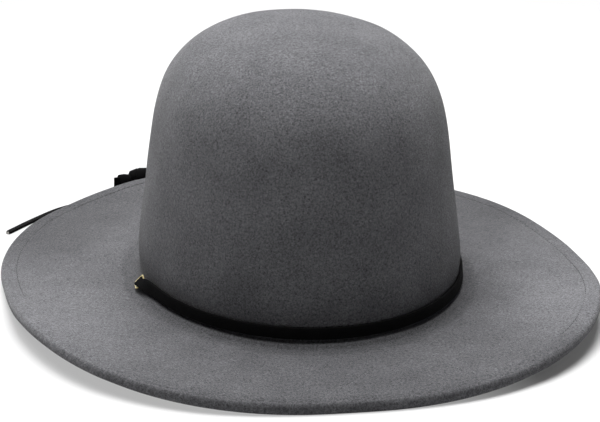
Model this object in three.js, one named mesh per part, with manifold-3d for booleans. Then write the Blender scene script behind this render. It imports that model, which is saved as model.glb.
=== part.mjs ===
// An open-crown felt hat with a wide stitched brim and a flat suede chin strap, resting on a surface.
// Millimetres, +Z up. The front of the hat faces -Y, and z = 0 is the surface that the brim rests on.
import * as THREE from "three";
import { mergeVertices } from "three/addons/utils/BufferGeometryUtils.js";
import Module from "manifold-3d";

// Felt
const FELT = 2.2;
const COLUMNS = 72;

// Crown: an oval dome whose centre lies a little in front of the brim's centre
const CROWN_HALF_WIDTH = 84.2;
const CROWN_HALF_LENGTH = 103.1;
const CROWN_TOP_Z = 148.3;
const CROWN_CENTRE_Y = -4.5;
const CROWN_TAPER = 0.13;
const DOME_POWER = 7.6;

// The strap holds the crown in, so its wall swells a little above the strap
const SWELL = 1.9;
const SWELL_FROM_Z = 14.5;
const SWELL_FULL_Z = 28;
const SWELL_FADE = 32;

// Brim: a full oval, with the height of its top where it meets the crown
const BRIM_HALF_WIDTH = 157.3;
const BRIM_HALF_LENGTH = 171.8;
const BRIM_OVAL_POWER = 2.44;
const BRIM_ROOT_Z = 9.6;
const FOOT_RADIUS = 6;

// Curl of the brim: its edge lifts at the two front quarters, and over the knot at the left back
const FRONT_REST_DEG = 5;
const QUARTER_LIFT = 10.2;
const QUARTER_SPAN_RIGHT_DEG = 117;
const QUARTER_SPAN_LEFT_DEG = 122;
const KNOT_LIFT = 5.4;
const KNOT_LIFT_AT_DEG = -162;
const KNOT_LIFT_SPAN_DEG = 24;
const CURL_POWER = 1.7;

// Hem: the edge turned under once, rolled down at the front
const HEM_WIDTH = 8.6;
const HEM_ROLL = 2.4;
const HEM_RAW_EDGE = 9.9;
const EDGE_RADIUS = 2.2;

// Suede strap
const STRAP_WIDTH = 6.1;
const STRAP_THICK = 1.5;
const STRAP_CHAMFER = 0.35;
const STRAP_LOW_EDGE = 4;
const STRAP_LEAN_DEG = 5;
const STRAP_OUT = 1.6;
const STRAP_OUT_RIGHT = 2;
const GAP = 0.3;

// Eyelets: flat rounded frames that bridge the foot of the crown at each side
const EYELET_LEFT_DEG = -82.5;
const EYELET_RIGHT_DEG = 98;
const EYELET_TILT_DEG = 42;
const EYELET_ROLL_DEG = -10;
const EYELET_RAISE = 0.9;
const EYELET_LENGTH = 7.5;
const EYELET_WIDTH = 6.8;
const EYELET_BORDER = 0.65;
const EYELET_THICK = 0.8;
const EYELET_DEPTH = 2.8;
const SLOT_LENGTH = 2.7;
const SLOT_WIDTH = 5.5;
const STRAP_DOWN_AT = -1.3;
const STRAP_NECK_WIDTH = 4.9;
const STRAP_NECK_THICK = 1;
const NECK_LENGTH = 1;
const BEND_LENGTH_DEG = 12.5;
const BEND_START_DEG = 25;
const TURN_RADIUS = 1.6;
const LAID_OUT = 5;
const LAID_BACK = 20;

// Knot and the free end behind the left back edge
const KNOT_CENTRE = [-66, 174, 5.7];
const KNOT_HALF = [10, 6.5, 5.5];
const KNOT_END_TIP_X = -80.5;
const KNOT_END_Y = 170.5;
const TAIL_WIDTH = 3.4;
const LAID_Z = STRAP_THICK / 2 + 0.1;

const UP = new THREE.Vector3(0, 0, 1);
const rad = THREE.MathUtils.degToRad;
const wasm = await Module();
wasm.setup();

const feltColour = new THREE.MeshStandardMaterial({ color: 0x6d6d71, roughness: 0.95, metalness: 0 });
const suedeColour = new THREE.MeshStandardMaterial({ color: 0x0d0d0e, roughness: 0.9, metalness: 0 });
const brassColour = new THREE.MeshStandardMaterial({ color: 0xc9a655, roughness: 0.3, metalness: 1 });

// Angles are measured round the hat from its front, positive towards +X.
// The height of the brim's underside over the surface at an angle from -180 to 180 degrees.
function underEdge(degrees) {
  const span = degrees > 0 ? QUARTER_SPAN_RIGHT_DEG : QUARTER_SPAN_LEFT_DEG;
  const along = (Math.abs(degrees) - FRONT_REST_DEG) / (span - FRONT_REST_DEG);
  const curl = QUARTER_LIFT * Math.sin(Math.PI * THREE.MathUtils.clamp(along, 0, 1)) ** 2;
  const away = Math.abs(THREE.MathUtils.euclideanModulo(degrees - KNOT_LIFT_AT_DEG + 180, 360) - 180);
  const near = THREE.MathUtils.clamp(away / KNOT_LIFT_SPAN_DEG, 0, 1);
  return curl + KNOT_LIFT * Math.cos((Math.PI / 2) * near) ** 2;
}

// The brim's outer edge in plan.
function brimEdge(angle) {
  const across = Math.abs(Math.sin(angle) / BRIM_HALF_WIDTH) ** BRIM_OVAL_POWER;
  const along = Math.abs(Math.cos(angle) / BRIM_HALF_LENGTH) ** BRIM_OVAL_POWER;
  const reach = (across + along) ** (-1 / BRIM_OVAL_POWER);
  return new THREE.Vector2(reach * Math.sin(angle), -reach * Math.cos(angle));
}

// A point of the crown's oval, pushed out by a distance.
function crownOval(angle, scale, out) {
  const x = (CROWN_HALF_WIDTH * scale + out) * Math.sin(angle);
  const y = CROWN_CENTRE_Y - (CROWN_HALF_LENGTH * scale + out) * Math.cos(angle);
  return new THREE.Vector2(x, y);
}

// The outward direction of the crown's wall, level with the surface.
function crownOut(angle) {
  const out = new THREE.Vector3(Math.sin(angle) / CROWN_HALF_WIDTH, -Math.cos(angle) / CROWN_HALF_LENGTH, 0);
  return out.normalize();
}

function wallSwell(z) {
  const above = Math.max(z - SWELL_FULL_Z, 0) / SWELL_FADE;
  return SWELL * THREE.MathUtils.smoothstep(z, SWELL_FROM_Z, SWELL_FULL_Z) * Math.exp(-above * above);
}

// The crown above its foot: how = 0 at the foot's top and 1 at the dome's top, inset by the felt inside.
function crownPoint(angle, how, inset) {
  const foot = BRIM_ROOT_Z + FOOT_RADIUS;
  const z = foot + (CROWN_TOP_Z - inset - foot) * how;
  const width = (1 - CROWN_TAPER * how) * Math.sqrt(Math.max(1 - how ** DOME_POWER, 0));
  const p = crownOval(angle, width * (1 - inset / CROWN_HALF_WIDTH), how < 1 ? wallSwell(z) : 0);
  return new THREE.Vector3(p.x, p.y, z);
}

// The foot, where the wall turns out into the brim: turn = 0 at the wall and 90 degrees at the brim.
function footPoint(angle, turn, radius) {
  const p = crownOval(angle, 1, FOOT_RADIUS - radius * Math.cos(turn));
  return new THREE.Vector3(p.x, p.y, BRIM_ROOT_Z + FOOT_RADIUS - radius * Math.sin(turn));
}

// The brim in section: from is the distance in from the outer edge.
function brimLine(angle) {
  const root = crownOval(angle, 1, FOOT_RADIUS);
  const edge = brimEdge(angle);
  const degrees = THREE.MathUtils.euclideanModulo(THREE.MathUtils.radToDeg(angle) + 180, 360) - 180;
  const roll = HEM_ROLL * Math.max(Math.cos(rad(degrees)), 0) ** 2;
  return { root, edge, length: root.distanceTo(edge), under: underEdge(degrees), roll };
}

function brimTopZ(line, from) {
  const hemTop = line.under + 2 * FELT;
  if (from < HEM_WIDTH) {
    return hemTop + line.roll * (1 - (1 - from / HEM_WIDTH) ** 2);
  }
  const along = (line.length - from) / (line.length - HEM_WIDTH);
  return BRIM_ROOT_Z + (hemTop + line.roll - BRIM_ROOT_Z) * along ** CURL_POWER;
}

function brimPoint(angle, from, below) {
  const line = brimLine(angle);
  const p = line.edge.clone().lerp(line.root, from / line.length);
  return new THREE.Vector3(p.x, p.y, brimTopZ(line, from) - below);
}

// The hem's underside: level with the surface where the brim rests, and rolled up inwards at the front.
function hemBottom(angle, from) {
  const line = brimLine(angle);
  const p = line.edge.clone().lerp(line.root, from / line.length);
  const inwards = Math.min((from - EDGE_RADIUS) / (HEM_WIDTH - EDGE_RADIUS), 1);
  return new THREE.Vector3(p.x, p.y, line.under + line.roll * (1 - (1 - inwards) ** 2));
}

// The hem's rounded edge between its underside and its top.
function hemEdge(angle, turn) {
  const from = EDGE_RADIUS * (1 - Math.cos(turn));
  const low = hemBottom(angle, EDGE_RADIUS);
  const high = brimPoint(angle, EDGE_RADIUS, 0);
  const line = brimLine(angle);
  const p = line.edge.clone().lerp(line.root, from / line.length);
  return new THREE.Vector3(p.x, p.y, (low.z + high.z) / 2 + ((high.z - low.z) / 2) * Math.sin(turn));
}

// A point of the brim outside its hem, given as the share of the way from the foot to the hem.
function brimShare(angle, share, below) {
  const length = brimLine(angle).length;
  return brimPoint(angle, length - share * (length - HEM_WIDTH), below);
}

// The felt's section as a list of points, each a function of the angle: up the outside from the inside's top.
function feltSection() {
  const section = [];
  const domeSteps = [1, 0.995, 0.975, 0.94, 0.89, 0.82, 0.73, 0.6, 0.42, 0.25, 0.12, 0.05, 0];
  const footSteps = [0, 30, 60, 90];
  const brimSteps = [0.3, 0.6, 0.85];
  domeSteps.forEach((how) => section.push((a) => crownPoint(a, how, FELT)));
  footSteps.slice(1).forEach((turn) => section.push((a) => footPoint(a, rad(turn), FOOT_RADIUS + FELT)));
  brimSteps.forEach((share) => section.push((a) => brimShare(a, share, FELT)));
  section.push((a) => brimPoint(a, HEM_RAW_EDGE + 0.5, FELT));
  [HEM_RAW_EDGE, HEM_WIDTH / 2, EDGE_RADIUS].forEach((from) => section.push((a) => hemBottom(a, from)));
  [-60, -20, 20, 60].forEach((turn) => section.push((a) => hemEdge(a, rad(turn))));
  [EDGE_RADIUS, HEM_WIDTH * 0.6, HEM_WIDTH].forEach((from) => section.push((a) => brimPoint(a, from, 0)));
  [...brimSteps].reverse().forEach((share) => section.push((a) => brimShare(a, share, 0)));
  [...footSteps].reverse().forEach((turn) => section.push((a) => footPoint(a, rad(turn), FOOT_RADIUS)));
  const outerSteps = [0.03, 0.07, 0.12, 0.22, 0.33, 0.46, 0.59, 0.7, 0.79, 0.86, 0.915, 0.955, 0.982, 0.996, 1];
  outerSteps.forEach((how) => section.push((a) => crownPoint(a, how, 0)));
  return section;
}

// The felt body: a lathe grid whose points are set to the hat's own section at each angle.
function feltGeometry() {
  const section = feltSection();
  const rows = section.map((point, i) => new THREE.Vector2(i % (section.length - 1) === 0 ? 0 : 1, i));
  const geometry = new THREE.LatheGeometry(rows, COLUMNS);
  const place = geometry.attributes.position;
  for (let column = 0; column <= COLUMNS; column += 1) {
    const angle = (2 * Math.PI * (column % COLUMNS)) / COLUMNS;
    section.forEach((point, row) => {
      const p = point(angle);
      place.setXYZ(column * section.length + row, p.x, p.y, p.z);
    });
  }
  return geometry;
}

// Solid and back, for the cuts and joins
function solidOf(geometry) {
  const bare = geometry.clone();
  bare.deleteAttribute("normal");
  bare.deleteAttribute("uv");
  const merged = mergeVertices(bare, 1e-4);
  return new wasm.Manifold(
    new wasm.Mesh({
      numProp: 3,
      vertProperties: new Float32Array(merged.attributes.position.array),
      triVerts: new Uint32Array(merged.index.array),
    }),
  );
}

function geometryOf(solid) {
  const mesh = solid.getMesh();
  const geometry = new THREE.BufferGeometry();
  geometry.setAttribute("position", new THREE.BufferAttribute(mesh.vertProperties, 3));
  geometry.setIndex(new THREE.BufferAttribute(mesh.triVerts, 1));
  geometry.computeVertexNormals();
  return geometry;
}

// The place of an eyelet: the middle of the foot's curve, and its directions forward, up and off the felt.
// It rolls a little, so that its front is lower than its back.
function eyeletSeat(side) {
  const angle = rad(side < 0 ? EYELET_LEFT_DEG : EYELET_RIGHT_DEG);
  const foot = crownOval(angle, 1, 0);
  const out = crownOut(angle);
  const level = new THREE.Vector3(-out.y, out.x, 0).multiplyScalar(-side);
  const tilt = rad(EYELET_TILT_DEG);
  const roll = rad(EYELET_ROLL_DEG);
  const off = out.clone().multiplyScalar(Math.cos(tilt)).addScaledVector(UP, Math.sin(tilt));
  const slope = out.clone().multiplyScalar(-Math.sin(tilt)).addScaledVector(UP, Math.cos(tilt));
  const forward = level.clone().multiplyScalar(Math.cos(roll)).addScaledVector(slope, Math.sin(roll));
  const rise = slope.clone().multiplyScalar(Math.cos(roll)).addScaledVector(level, -Math.sin(roll));
  const centre = new THREE.Vector3(foot.x, foot.y, BRIM_ROOT_Z + FOOT_RADIUS);
  centre.addScaledVector(out, FOOT_RADIUS).addScaledVector(slope, EYELET_RAISE);
  return { centre, foot, out, level, forward, rise, off };
}

// A point at the seat, forward of its middle and down from it towards the felt.
function seatPoint(seat, forward, depth) {
  return seat.centre.clone().addScaledVector(seat.forward, forward).addScaledVector(seat.off, -depth);
}

// A turned matrix at the seat: x runs forward, y up the frame, z off the felt.
function seatMatrix(seat, side, forward, depth) {
  const x = seat.forward.clone().multiplyScalar(-side);
  const place = new THREE.Matrix4().makeBasis(x, seat.rise, seat.off);
  return place.setPosition(seatPoint(seat, forward, depth));
}

function roundedRectangle(path, length, width, radius) {
  const x = length / 2 - radius;
  const y = width / 2 - radius;
  path.absarc(x, y, radius, 0, Math.PI / 2, false);
  path.absarc(-x, y, radius, Math.PI / 2, Math.PI, false);
  path.absarc(-x, -y, radius, Math.PI, Math.PI * 1.5, false);
  path.absarc(x, -y, radius, Math.PI * 1.5, Math.PI * 2, false);
  return path;
}

function eyelet(side, name) {
  const shape = roundedRectangle(new THREE.Shape(), EYELET_LENGTH - 0.4, EYELET_WIDTH - 0.4, 1.2);
  const inner = [EYELET_LENGTH - 2 * EYELET_BORDER + 0.4, EYELET_WIDTH - 2 * EYELET_BORDER + 0.4];
  shape.holes.push(roundedRectangle(new THREE.Path(), inner[0], inner[1], 0.9));
  const geometry = new THREE.ExtrudeGeometry(shape, {
    depth: EYELET_THICK - 0.4,
    bevelThickness: 0.2,
    bevelSize: 0.2,
    bevelSegments: 1,
    curveSegments: 4,
  });
  geometry.translate(0, 0, -(EYELET_THICK - 0.4) / 2);
  geometry.applyMatrix4(seatMatrix(eyeletSeat(side), side, 0, EYELET_DEPTH));
  const mesh = new THREE.Mesh(geometry, brassColour);
  mesh.name = name;
  return mesh;
}

function feltBody() {
  let solid = solidOf(feltGeometry());
  for (const side of [-1, 1]) {
    const slot = new THREE.BoxGeometry(SLOT_LENGTH, SLOT_WIDTH, 8);
    slot.applyMatrix4(seatMatrix(eyeletSeat(side), side, STRAP_DOWN_AT, FOOT_RADIUS + FELT / 2));
    solid = solid.subtract(solidOf(slot));
  }
  const mesh = new THREE.Mesh(geometryOf(solid), feltColour);
  mesh.name = "felt_body";
  return mesh;
}

// One section of the strap: its middle, the direction of its width and of its outer face.
function strapSection(at, across, face, width, thick = STRAP_THICK) {
  const w = width / 2;
  const t = thick / 2;
  const c = STRAP_CHAMFER;
  const upper = [[w, t - c], [w - c, t], [c - w, t], [-w, t - c]];
  const corners = [...upper, ...upper.map(([u, v]) => [-u, -v])];
  return corners.map(([u, v]) => at.clone().addScaledVector(across, u).addScaledVector(face, v));
}

// A closed body through a row of sections with the same number of corners.
function loft(sections) {
  const sides = sections[0].length;
  const geometry = new THREE.BufferGeometry().setFromPoints(sections.flat());
  const faces = [];
  for (let row = 0; row < sections.length - 1; row += 1) {
    for (let i = 0; i < sides; i += 1) {
      const a = row * sides + i;
      const b = row * sides + ((i + 1) % sides);
      faces.push(a, b, b + sides, a, b + sides, a + sides);
    }
  }
  const last = (sections.length - 1) * sides;
  for (let i = 1; i < sides - 1; i += 1) {
    faces.push(0, i + 1, i, last, last + i, last + i + 1);
  }
  geometry.setIndex(faces);
  geometry.computeVertexNormals();
  return geometry;
}

// The strap's run on the crown at an angle: it leans with the wall.
const STRAP_OVER = EYELET_DEPTH - EYELET_THICK / 2 - GAP - STRAP_NECK_THICK / 2;
const STRAP_LEFT_DEG = EYELET_LEFT_DEG + BEND_LENGTH_DEG;
const STRAP_RIGHT_DEG = EYELET_RIGHT_DEG - BEND_LENGTH_DEG;

function strapOnCrown(degrees) {
  const lean = rad(STRAP_LEAN_DEG);
  const angle = rad(degrees);
  const out = crownOut(angle);
  const face = out.clone().multiplyScalar(Math.cos(lean)).addScaledVector(UP, Math.sin(lean));
  const across = out.clone().multiplyScalar(-Math.sin(lean)).addScaledVector(UP, Math.cos(lean));
  const foot = crownOval(angle, 1, 0);
  const at = new THREE.Vector3(foot.x, foot.y, BRIM_ROOT_Z + STRAP_LOW_EDGE + (STRAP_WIDTH / 2) * Math.cos(lean));
  at.addScaledVector(out, THREE.MathUtils.lerp(STRAP_OUT, STRAP_OUT_RIGHT, THREE.MathUtils.smoothstep(degrees, 30, 90)));
  return { at, face, across };
}

// From the eyelet up to the crown's wall in one easy bend.
function strapBend(side) {
  const seat = eyeletSeat(side);
  const degrees = side < 0 ? STRAP_LEFT_DEG : STRAP_RIGHT_DEG;
  const wall = strapOnCrown(degrees);
  const start = seatPoint(seat, STRAP_DOWN_AT + TURN_RADIUS + NECK_LENGTH, STRAP_OVER);
  const leave = seat.forward.clone().multiplyScalar(Math.cos(rad(BEND_START_DEG)));
  leave.addScaledVector(seat.rise, Math.sin(rad(BEND_START_DEG)));
  const run = new THREE.Vector3(
    CROWN_HALF_WIDTH * Math.cos(rad(degrees)),
    CROWN_HALF_LENGTH * Math.sin(rad(degrees)),
    0,
  ).setLength(side);
  const reach = wall.at.distanceTo(start) / 3;
  const bend = new THREE.CubicBezierCurve3(
    start,
    start.clone().addScaledVector(leave, reach),
    wall.at.clone().addScaledVector(run, reach),
    wall.at,
  );
  return [0.1, 0.2, 0.3, 0.4, 0.52, 0.64, 0.76, 0.88].map((share) => {
    const along = bend.getTangent(share);
    const face = seat.off.clone().lerp(wall.face, THREE.MathUtils.smoothstep(share, 0, 1)).normalize();
    const square = along.clone().cross(face).multiplyScalar(side).normalize();
    const across = seat.rise.clone().lerp(square, THREE.MathUtils.smoothstep(share, 0, 0.35)).normalize();
    const grown = THREE.MathUtils.smoothstep(share, 0, 0.35);
    const width = THREE.MathUtils.lerp(STRAP_NECK_WIDTH, STRAP_WIDTH, grown);
    const thick = THREE.MathUtils.lerp(STRAP_NECK_THICK, STRAP_THICK, THREE.MathUtils.smoothstep(share, 0.3, 0.8));
    return strapSection(bend.getPoint(share), across, face, width, thick);
  });
}

// The strap's end: over the front bar of the eyelet, round and down through the slot.
function strapEnd(side) {
  const seat = eyeletSeat(side);
  const start = seatPoint(seat, STRAP_DOWN_AT + TURN_RADIUS + NECK_LENGTH, STRAP_OVER);
  const neck = [STRAP_NECK_WIDTH, STRAP_NECK_THICK];
  const rows = [strapSection(start, seat.rise, seat.off, ...neck)];
  for (const turned of [0, 22.5, 45, 67.5, 90]) {
    const forward = STRAP_DOWN_AT + TURN_RADIUS * (1 - Math.sin(rad(turned)));
    const depth = STRAP_OVER + TURN_RADIUS * (1 - Math.cos(rad(turned)));
    const face = seat.off.clone().multiplyScalar(Math.cos(rad(turned)));
    face.addScaledVector(seat.forward, -Math.sin(rad(turned)));
    rows.push(strapSection(seatPoint(seat, forward, depth), seat.rise, face, ...neck));
  }
  const down = seat.forward.clone().negate();
  const through = seatPoint(seat, STRAP_DOWN_AT, FOOT_RADIUS + FELT / 2);
  rows.push(strapSection(through, seat.rise, down, ...neck));
  rows.push(...strapFall(side, seat, seatPoint(seat, STRAP_DOWN_AT, FOOT_RADIUS + FELT + 0.6)));
  return rows;
}

// Where the strap comes to lie on the surface under the brim.
function laidPoint(side, on) {
  const seat = eyeletSeat(side);
  const at = new THREE.Vector3(seat.foot.x, seat.foot.y, LAID_Z).addScaledVector(seat.out, LAID_OUT);
  return at.addScaledVector(seat.level, -LAID_BACK - on);
}

// Under the slot the strap falls in one bend to the surface and turns flat.
function strapFall(side, seat, start) {
  const end = laidPoint(side, 0);
  const bend = new THREE.CubicBezierCurve3(
    start,
    start.clone().addScaledVector(seat.off, -4.5),
    end.clone().addScaledVector(seat.level, 9),
    end,
  );
  const inwards = seat.out.clone().negate();
  return [0, 0.15, 0.3, 0.45, 0.6, 0.8, 1].map((share) => {
    const run = bend.getTangent(share);
    const turned = THREE.MathUtils.smoothstep(share, 0, 0.7);
    const across = seat.rise.clone().lerp(inwards, turned);
    across.addScaledVector(run, -across.dot(run)).normalize();
    const face = run.clone().cross(across).multiplyScalar(side);
    const width = THREE.MathUtils.lerp(STRAP_NECK_WIDTH, STRAP_WIDTH, turned);
    const thick = THREE.MathUtils.lerp(STRAP_NECK_THICK, STRAP_THICK, turned);
    return strapSection(bend.getPoint(share), across, face, width, thick);
  });
}

function strapFront() {
  const rows = [...strapEnd(-1).reverse(), ...strapBend(-1)];
  const steps = 50;
  for (let i = 0; i <= steps; i += 1) {
    const place = strapOnCrown(THREE.MathUtils.lerp(STRAP_LEFT_DEG, STRAP_RIGHT_DEG, i / steps));
    rows.push(strapSection(place.at, place.across, place.face, STRAP_WIDTH));
  }
  rows.push(...strapBend(1).reverse(), ...strapEnd(1));
  const mesh = new THREE.Mesh(loft(rows), suedeColour);
  mesh.name = "strap_front";
  return mesh;
}

// A laid strap: the flat section drawn along a route.
function laidStrap(name, route, width, steps) {
  const w = width / 2;
  const t = STRAP_THICK / 2;
  const c = STRAP_CHAMFER;
  const upper = [[t, w - c], [t - c, w], [c - t, w], [-t, w - c]];
  const corners = [...upper, ...upper.map(([x, y]) => [-x, -y])];
  const shape = new THREE.Shape(corners.map(([x, y]) => new THREE.Vector2(x, y)));
  const path = new THREE.CatmullRomCurve3(route);
  const geometry = new THREE.ExtrudeGeometry(shape, { steps, extrudePath: path, bevelEnabled: false });
  const mesh = new THREE.Mesh(geometry, suedeColour);
  mesh.name = name;
  return mesh;
}

// Routes on the surface, chosen by hand, after the start that each leg takes from its eyelet.
const LEFT_LEG = [
  [-95, 20, LAID_Z],
  [-104, 38, LAID_Z],
  [-107, 68, LAID_Z],
  [-102, 100, LAID_Z],
  [-90, 132, LAID_Z],
  [-77, 155, LAID_Z],
  [-69.9, 167.3, LAID_Z],
];

const RIGHT_LEG = [
  [87, 48, LAID_Z],
  [91, 66, LAID_Z],
  [92, 86, LAID_Z],
  [86, 107, LAID_Z],
  [70, 128, LAID_Z],
  [44, 143, LAID_Z],
  [8, 151, LAID_Z],
  [-24, 161, LAID_Z],
  [-44, 170, LAID_Z],
  [-58.9, 174, LAID_Z],
];

const TAIL = [
  [-76, 167.7, LAID_Z],
  [-84, 163, LAID_Z],
  [-92, 156.3, LAID_Z],
  [-101, 148.5, LAID_Z],
  [-116, 137.6, LAID_Z],
  [-132, 121.5, LAID_Z],
  [-147.7, 103.3, LAID_Z],
];

const pointsOf = (rows) => rows.map((row) => new THREE.Vector3(...row));

function legRoute(side, rows) {
  return [laidPoint(side, GAP), laidPoint(side, 6), ...pointsOf(rows)];
}

function strapKnot() {
  const lump = new THREE.SphereGeometry(1, 20, 12);
  lump.scale(...KNOT_HALF);
  lump.translate(...KNOT_CENTRE);
  const length = KNOT_CENTRE[0] - KNOT_END_TIP_X;
  const end = new THREE.BoxGeometry(length, STRAP_THICK, STRAP_WIDTH);
  end.translate(KNOT_END_TIP_X + length / 2, KNOT_END_Y, STRAP_WIDTH / 2 + 0.45);
  const mesh = new THREE.Mesh(geometryOf(solidOf(lump).add(solidOf(end))), suedeColour);
  mesh.name = "strap_knot";
  return mesh;
}

const group = new THREE.Group();
group.add(feltBody());
group.add(eyelet(-1, "eyelet_left"), eyelet(1, "eyelet_right"));
group.add(strapFront());
group.add(laidStrap("strap_leg_left", legRoute(-1, LEFT_LEG), STRAP_WIDTH, 30));
group.add(laidStrap("strap_leg_right", legRoute(1, RIGHT_LEG), STRAP_WIDTH, 40));
group.add(laidStrap("strap_tail", pointsOf(TAIL), TAIL_WIDTH, 16));
group.add(strapKnot());

export default group;
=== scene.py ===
# A plain open-crown felt hat: a tall round crown, a wide brim with a stitched hem, and a flat suede chin
# strap through a brass eyelet at each side. +Z is up, the front faces -Y, and z = 0 is what it rests on.
import math

import bmesh
import bpy
from mathutils import Matrix, Vector, noise


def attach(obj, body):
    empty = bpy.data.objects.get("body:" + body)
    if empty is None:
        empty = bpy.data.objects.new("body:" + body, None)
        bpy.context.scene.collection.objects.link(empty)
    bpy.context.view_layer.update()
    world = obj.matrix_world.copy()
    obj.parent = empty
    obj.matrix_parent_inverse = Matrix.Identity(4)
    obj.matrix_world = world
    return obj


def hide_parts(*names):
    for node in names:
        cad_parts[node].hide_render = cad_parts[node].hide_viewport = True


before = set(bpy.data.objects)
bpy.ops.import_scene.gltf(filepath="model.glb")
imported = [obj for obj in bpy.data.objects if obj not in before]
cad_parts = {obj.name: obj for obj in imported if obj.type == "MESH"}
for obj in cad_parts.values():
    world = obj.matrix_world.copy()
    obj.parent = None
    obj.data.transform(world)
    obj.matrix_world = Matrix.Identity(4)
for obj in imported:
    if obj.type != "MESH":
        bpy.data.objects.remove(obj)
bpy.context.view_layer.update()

# Shapes are worked out in millimetres, and each finished mesh is scaled to metres
MM = 0.001
UP = Vector((0, 0, 1))

# Camera
CAMERA_AT = (-245.0, -1456.7, 571.1)
CAMERA_LOOKS_AT = (0.7, -4.5, 44.7)
CAMERA_ROLL_DEG = 0.54
CAMERA_LENS = 176.7
CAMERA_SENSOR_WIDTH = 36.0

# Felt
FELT = 2.2
CROWN_HALF_WIDTH = 84.2
CROWN_HALF_LENGTH = 103.1
CROWN_TOP_Z = 148.3
CROWN_CENTRE_Y = -4.5
CROWN_TAPER = 0.13
DOME_POWER = 7.6
SWELL = 1.9
SWELL_FROM_Z = 14.5
SWELL_FULL_Z = 28.0
SWELL_FADE = 32.0
BRIM_HALF_WIDTH = 157.3
BRIM_HALF_LENGTH = 171.8
BRIM_OVAL_POWER = 2.44
BRIM_ROOT_Z = 9.6
FOOT_RADIUS = 6.0

# The felt fills the corner at the crown's foot: by how much, and over which turns it starts and stops
FOOT_FILL = 0.9
FILL_STARTS_DEG = (25, 60)
FILL_STOPS_DEG = (0, 35)

# Rows and columns of the felt's mesh
DOME_ROWS = 64
INNER_ROWS = 44
ROW_CROWDING = 1.7
BRIM_ROWS = 20
COLUMNS = 300

# Soft dents of the blocked felt: depth and size of the slow and the short ones, and where they fade in
DENTS = ((0.5, 48), (0.22, 19))
DENTS_FADE_IN = (2.0, 9.0)

# Painted light and shade in the felt's colour: degrees round from the front, and the brim's tone there
PAINTED_LIGHT_ROUND = ((0, 0.88), (30, 0.96), (60, 1.38), (92, 1.14), (128, 0.70), (180, 0.86))
PAINTED_LIGHT_BRIM_FADE_IN = (1.12, 1.6)
# The crown painted darker at its foot and lighter on its dome, and the heights where that fades in
PAINTED_SHADE_FOOT = 0.80
PAINTED_SHADE_WALL = 0.96
PAINTED_SHADE_WALL_Z = (15, 80)
PAINTED_LIGHT_DOME = 1.3
PAINTED_LIGHT_DOME_Z = (105, 145)

# Curl of the brim
FRONT_REST_DEG = 5
QUARTER_LIFT = 10.2
QUARTER_SPAN_RIGHT_DEG = 117
QUARTER_SPAN_LEFT_DEG = 122
KNOT_LIFT = 5.4
KNOT_LIFT_AT_DEG = -162
KNOT_LIFT_SPAN_DEG = 24
CURL_POWER = 1.7

# Hem, its seam and the stitches
HEM_WIDTH = 8.6
HEM_ROLL = 2.4
HEM_RAW_EDGE = 9.9
EDGE_RADIUS = 2.2
LOW_EDGE_SHARE = 0.35
SEAM_DEPTH = 0.4
SEAM_HALF_WIDTH = 0.5
STITCH_LENGTH = 2.5
STITCH_PITCH = 3.1
STITCH_THICK = 0.5
STITCH_FLATNESS = 0.8

# At the front the nap closes above the seam: where that starts and stops, and how deep the thread lies
COVER_STARTS_DEG = (-84, -66)
COVER_STOPS_DEG = (34, 48)
COVERED_THREAD_SINKS = 0.35

# Painted shade on the brim's edge at the front: how far in the shade reaches, and how far round
EDGE_SHADE_REACH = 2.2
EDGE_SHADE_FULL_TO = 0.5
EDGE_SHADE_ROUND = (0.05, 0.55)

# Suede strap
STRAP_WIDTH = 6.1
STRAP_THICK = 1.5
STRAP_CHAMFER = 0.4
STRAP_LOW_EDGE = 4.0
STRAP_LEAN_DEG = 5
STRAP_OUT = 1.6
STRAP_OUT_RIGHT = 2.0
STRAP_OUT_FROM_DEG = 30
STRAP_OUT_TO_DEG = 90
STRAP_UNEVEN = 0.14
GAP = 0.3
STRAP_DOWN_AT = -1.3
STRAP_NECK_WIDTH = 4.9
STRAP_NECK_THICK = 1.0
NECK_LENGTH = 1.0
BEND_LENGTH_DEG = 12.5
BEND_START_DEG = 25
TURN_RADIUS = 1.6
LAID_OUT = 5.0
LAID_BACK = 20.0
LAID_Z = STRAP_THICK / 2 + 0.1
LAID_UNEVEN = 0.05

# Eyelets
EYELET_LEFT_DEG = -82.5
EYELET_RIGHT_DEG = 98
EYELET_TILT_DEG = 42
EYELET_ROLL_DEG = -10
EYELET_RAISE = 0.9
EYELET_LENGTH = 7.5
EYELET_WIDTH = 6.8
EYELET_BORDER = 0.65
EYELET_CORNER = 1.4
EYELET_SOFT_EDGE = 0.22
EYELET_THICK = 0.8
EYELET_DEPTH = 2.8
SLOT_LENGTH = 2.7
SLOT_WIDTH = 5.5
SLOT_CUT_DEPTH = 8
STRAP_OVER = EYELET_DEPTH - EYELET_THICK / 2 - GAP - STRAP_NECK_THICK / 2
STRAP_LEFT_DEG = EYELET_LEFT_DEG + BEND_LENGTH_DEG
STRAP_RIGHT_DEG = EYELET_RIGHT_DEG - BEND_LENGTH_DEG

# Knot: the middle of its body and of the collar beside it, with the half sizes of the laces' middle line
KNOT_BODY = Vector((-63.5, 175.0, 5.6))
KNOT_BODY_SIZE = (8.5, 4.6, 4.6)
KNOT_COLLAR = Vector((-74.4, 171.6, 4.6))
KNOT_COLLAR_SIZE = (6.0, 2.6, 3.5)
KNOT_CORE_SIZE = (7.0, 3.9, 3.9)
KNOT_LACE_THICK = 1.6
KNOT_CHAMFER = 0.7
KNOT_UNEVEN = 0.22
WOUND_STEP_DEG = 10
WOUND_END_SINKS = 0.22
KNOT_END_TIP_X = -80.5
KNOT_END_Y = 170.5

# The free end
TAIL_ROOT_WIDTH = 4.2
TAIL_TIP_WIDTH = 3.2
TAIL_TAPER_TO = 0.7
TAIL_CUT_FROM = 0.98
TAIL_CUT_NARROWS = 0.35

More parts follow.
